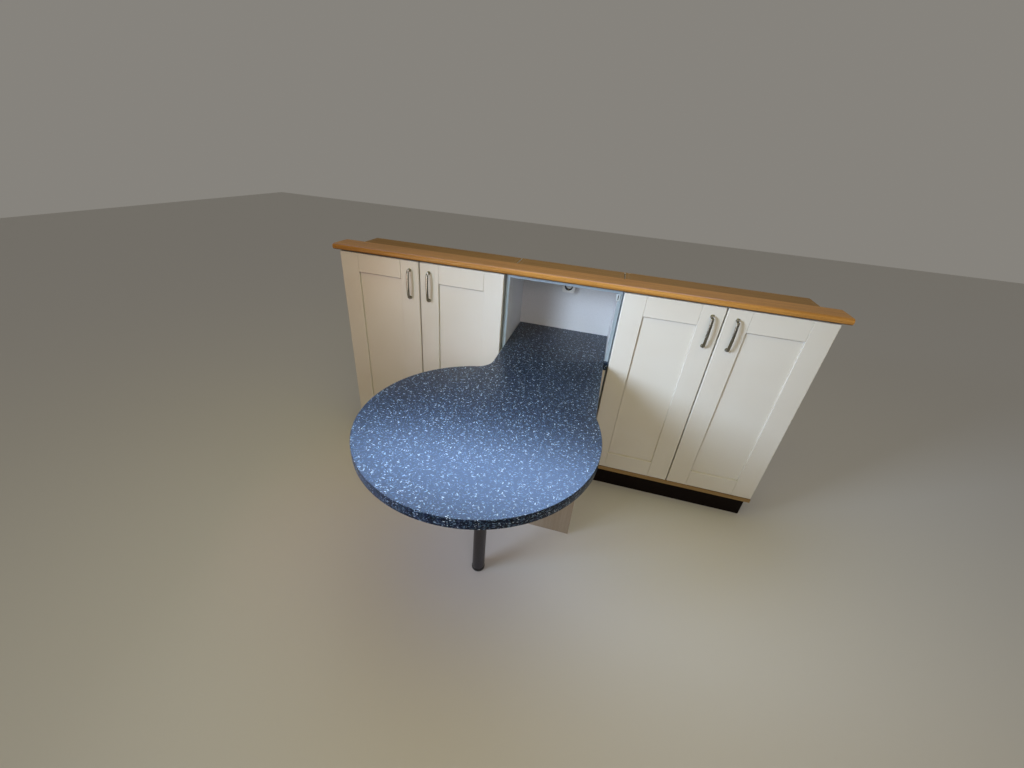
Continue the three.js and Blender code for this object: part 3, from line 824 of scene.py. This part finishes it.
def make_lockers():
    """The boards of both lockers with their edging, and the hinge arms on their sides."""
    for side, out in (("left", -1), ("right", 1)):
        for place, inward in (("inner", out), ("outer", -out)):
            node_name = "%s_%s_side" % (side, place)
            low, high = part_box(node_name)
            if inward > 0:
                high.x = low.x + BOARD * MM
            else:
                low.x = high.x - BOARD * MM
            edged_board(node_name, low, high)
            hinge_arms(node_name, high.x if inward > 0 else low.x, inward)
        for level in ("top", "bottom", "shelf"):
            node_name = "%s_%s" % (side, level)
            edged_board(node_name, *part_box(node_name))


def make_niche():
    """The niche's boards with their edging, and three shelf-pin holes in its left side, lined with painted
    shade."""
    edged_board("niche_right_side", *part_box("niche_right_side"))
    edged_board("niche_top", *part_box("niche_top"))
    low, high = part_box("niche_left_side")
    holed = edged_board("niche_left_side", low, high)
    # Columns: distance behind the door face and height of each pin hole
    holes = [(43, 1021), (66, 987), (100, 908)]
    profile = [(PIN_HOLE_RADIUS, -PIN_HOLE_DEPTH), (PIN_HOLE_RADIUS, 1.0)]
    drill(holed, [turned(profile, (high.x, DOOR_FACE + y * MM, z * MM), "x", 20) for y, z in holes])
    # Each hole gets a near-black sleeve, which paints the shade inside it
    lining = PIN_HOLE_RADIUS - LINING_GAP
    profile = [(lining, -PIN_HOLE_DEPTH + LINING_FLOOR_GAP), (lining, -PIN_LINING_TOP)]
    shapes = [turned(profile, (high.x, DOOR_FACE + y * MM, z * MM), "x", 20) for y, z in holes]
    piece("niche_pin_hole_shade", together(shapes), "slot", "root")


def make_back():
    """The one white back behind the lockers and the niche."""
    shape = rounded_board(*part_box("back_board"), BACK_ARRIS, 1)
    back = piece("white_back_board", shape, "hardboard", "root", ["back_board"], smooth=False)
    veneer_top(back)


def dress_plain_boards():
    """The boards of the base, the pedestal and the lower front, which keep their CAD shape."""
    # The toe kick and the plinth's ends take the nearly black board, which is partly painted shade
    plain = {
        "lower_front": "foil", "base_board": "oak", "toe_kick": "dark_wood",
        "plinth_end_left": "dark_wood", "plinth_end_right": "dark_wood", "pedestal_front": "plywood",
        "pedestal_side_left": "plywood", "pedestal_side_right": "plywood",
    }
    for node_name, finish in plain.items():
        dress(node_name, finish)


def make_worktop():
    """The worktop: laminate on its top and arris, an edge band round its side and backing underneath."""
    low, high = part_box("worktop")
    shape = slab(worktop_outline(), low.z, high.z, WORKTOP_ARRIS)
    worktop = piece("speckled_worktop", shape, "laminate", "root", ["worktop"])
    worktop.data.materials.append(FINISH["backing"])
    worktop.data.materials.append(FINISH["laminate_edge"])
    for polygon in worktop.data.polygons:
        if polygon.normal.z < -LEVEL:
            polygon.material_index = 1
        elif polygon.normal.z < BAND_BELOW:
            polygon.material_index = 2


def make_leg():
    """The table's leg: its tube, its foot and the plate under the worktop with four screws."""
    low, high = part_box("table_leg")
    centre = ((low.x + high.x) / 2, (low.y + high.y) / 2, 0)
    bottom, top = low.z / MM, high.z / MM
    end = LEG_RADIUS - LEG_ARRIS
    # Columns here and below: radius, height
    tube = [(end, bottom), (LEG_RADIUS, bottom + LEG_ARRIS), (LEG_RADIUS, top - LEG_ARRIS), (end, top)]
    piece("table_leg_tube", turned(tube, centre), "leg_steel", "root", ["table_leg"])
    foot = [
        (23, 0), (24.6, 0.3), (26.1, 1.3), (26.8, 2.8), (27, 5), (27, 9), (26.8, 11), (26.2, 12.6),
        (25.2, 13.6), (24.2, 14),
    ]
    piece("leg_foot_bead", turned(foot, centre), "black", "root", ["leg_foot"])
    low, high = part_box("leg_flange")
    bottom, top = low.z / MM, high.z / MM
    flange = [
        (26, bottom), (27.6, bottom + 0.4), (28, bottom + 1.2), (28, top - 8), (28.8, top - 6),
        (31, top - 4.6), (52, top - 4), (54.4, top - 3.4), (55, top - 2.4), (55, top),
    ]
    screw = [(1.2, top - 6.2), (3.4, top - 5.6), (4.4, top - 4), (4.4, top - 3)]
    shapes = [turned(flange, centre)]
    for turn in range(4):
        angle = math.radians(45 + 90 * turn)
        out = PLATE_SCREW_CIRCLE * MM
        spot = (centre[0] + out * math.cos(angle), centre[1] + out * math.sin(angle), 0)
        shapes.append(turned(screw, spot, "z", 20))
    piece("leg_top_plate", together(shapes), "leg_steel", "root", ["leg_flange"])


def make_ledge():
    """The ledge, varnished on top and on the nose, and darkened underneath with painted shade."""
    shape = ledge_shell(*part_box("ledge"))
    ledge = piece("nosed_ledge", shape, "ledge_wood", "root", ["ledge"])
    ledge.data.materials.append(FINISH["underside"])
    # Faces that look down take the dark finish, which paints the shade under the ledge
    for polygon in ledge.data.polygons:
        if polygon.normal.z < -BAND_BELOW:
            polygon.material_index = 1


def make_socket():
    """The round two-pin socket: its box, two pin holes drawn as dark discs of painted shade, two side
    contacts, the well's dark lining, partly its own dark wall and partly painted shade, and the middle
    screw."""
    low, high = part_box("wall_socket")
    piece("socket_box", socket_shell(low, high), "socket", "root", ["wall_socket"])
    centre_x, centre_z = (low.x + high.x) / 2, (low.z + high.z) / 2
    floor = low.y + SOCKET_WELL_DEPTH * MM
    # Columns here and in the screw: radius, depth behind the well's floor
    hole = [(2.4, -0.4), (2.6, -0.2), (2.6, 1)]
    # Each pin hole is a dark disc on the well's floor, which paints the shade inside the hole
    pins, contacts = [], []
    for side in (-1, 1):
        pins.append(turned(hole, (centre_x + side * SOCKET_PIN_OUT * MM, floor, centre_z), "y", 24))
        ends = (SOCKET_CONTACT_OUTER, SOCKET_CONTACT_INNER)
        zs = sorted(centre_z + side * end * MM for end in ends)
        contact_low = (centre_x - SOCKET_CONTACT_HALF * MM, floor - SOCKET_CONTACT_DEEP * MM, zs[0])
        contact_high = (centre_x + SOCKET_CONTACT_HALF * MM, floor, zs[1])
        contacts.append(rounded_board(contact_low, contact_high, SOCKET_CONTACT_EDGE))
    piece("socket_pin_holes", together(pins), "slot", "root")
    piece("socket_side_contacts", together(contacts), "brass", "root")
    wall, deep = SOCKET_WELL - LINING_GAP, SOCKET_WELL_DEPTH - LINING_FLOOR_GAP
    # Columns: radius, depth behind the socket's front face
    lining = [
        (wall, SOCKET_LINING_FRONT), (wall, deep), (SOCKET_INSERT, deep),
        (SOCKET_INSERT, SOCKET_WELL_DEPTH - 0.8), (wall - SOCKET_LINING, SOCKET_WELL_DEPTH - 1.4),
        (wall - SOCKET_LINING, SOCKET_LINING_FRONT),
    ]
    shape = hollow_ring(lining, (centre_x, low.y, centre_z), "y")
    piece("socket_well_lining", shape, "slot", "root")
    screw = turned([(1, -1.6), (2.6, -1.3), (3.1, -0.6), (3.1, 1)], (centre_x, floor, centre_z), "y", 24)
    piece("socket_screw", screw, "hinge_steel", "root")


def make_catch():
    """The small catch at the front of the niche's right side: a white housing that laps over the board's
    front edge, with an upright slot drawn as a dark strip of painted shade on its face."""
    low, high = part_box("niche_right_side")
    left, front = low.x - CATCH_LAP * MM, low.y - CATCH_PROUD * MM
    bottom, top = CATCH_BOTTOM * MM, (CATCH_BOTTOM + CATCH_HIGH) * MM
    plate = rounded_board((left, front, bottom), (left + CATCH_WIDE * MM, low.y, top), CATCH_EDGE, 4)
    body_low = (left + 1 * MM, low.y - 1 * MM, bottom + 2 * MM)
    body_high = (low.x, low.y + CATCH_BODY_DEEP * MM, top - 2 * MM)
    body = rounded_board(body_low, body_high, CATCH_BODY_EDGE)
    piece("niche_catch", together([plate, body]), "catch", "root")
    middle = left + CATCH_WIDE * MM / 2
    slot_low = (middle - CATCH_SLOT_HALF * MM, front - 0.3 * MM, bottom + 5 * MM)
    slot_high = (middle + CATCH_SLOT_HALF * MM, front + 1.5 * MM, top - 4 * MM)
    # The slot is a dark strip on the housing's face, which paints the shade inside the slot
    shape = rounded_board(slot_low, slot_high, CATCH_SLOT_EDGE)
    piece("niche_catch_slot", shape, "slot", "root")


def make_stage():
    """A plain pale floor, an even pale sky and the soft boxes, which the camera doesn't see. Two of
    them are only mirrored, in the laminate and the metal."""
    mesh = bpy.data.meshes.new("floor")
    corners = [
        (side_x * FLOOR_HALF, side_y * FLOOR_HALF, -FLOOR_DROP)
        for side_x, side_y in ((-1, -1), (1, -1), (1, 1), (-1, 1))
    ]
    mesh.from_pydata(corners, [], [(0, 1, 2, 3)])
    mesh.materials.append(blank("pale_floor", FLOOR_COLOUR, 0.8)[0])
    floor = bpy.data.objects.new("floor", mesh)
    bpy.context.scene.collection.objects.link(floor)

    world = bpy.data.worlds.new("pale_sky")
    world.use_nodes = True
    sky = world.node_tree.nodes["Background"]
    sky.inputs["Color"].default_value = linear(SKY_COLOUR)
    sky.inputs["Strength"].default_value = SKY_STRENGTH
    bpy.context.scene.world = world
    bpy.context.scene.view_settings.view_transform = "Standard"

    for name, (place, way, width, height, spread_deg, power, colour) in SOFT_BOXES.items():
        light = bpy.data.lights.new(name, "AREA")
        light.shape = "RECTANGLE"
        light.size, light.size_y = width, height
        light.spread = math.radians(spread_deg)
        light.energy = power
        light.color = linear(colour)[:3]
        box = bpy.data.objects.new(name, light)
        box.location = place
        box.rotation_euler = Vector(way).to_track_quat("-Z", "Y").to_euler()
        box.visible_camera = False
        box.visible_diffuse = name not in ONLY_MIRRORED
        bpy.context.scene.collection.objects.link(box)


def make_camera():
    """The camera where the constants at the top put it."""
    camera = bpy.data.cameras.new("camera")
    camera.sensor_width = CAMERA_SENSOR
    camera.lens = CAMERA_LENS
    camera.clip_start = CAMERA_NEAR
    viewer = bpy.data.objects.new("camera", camera)
    viewer.location = CAMERA_PLACE
    viewer.rotation_euler = Euler([math.radians(angle) for angle in CAMERA_TURN_DEG], "XYZ")
    bpy.context.scene.collection.objects.link(viewer)
    bpy.context.scene.camera = viewer


make_camera()
make_stage()
make_doors()
make_lockers()
make_niche()
make_back()
dress_plain_boards()
make_worktop()
make_leg()
make_ledge()
make_socket()
make_catch()
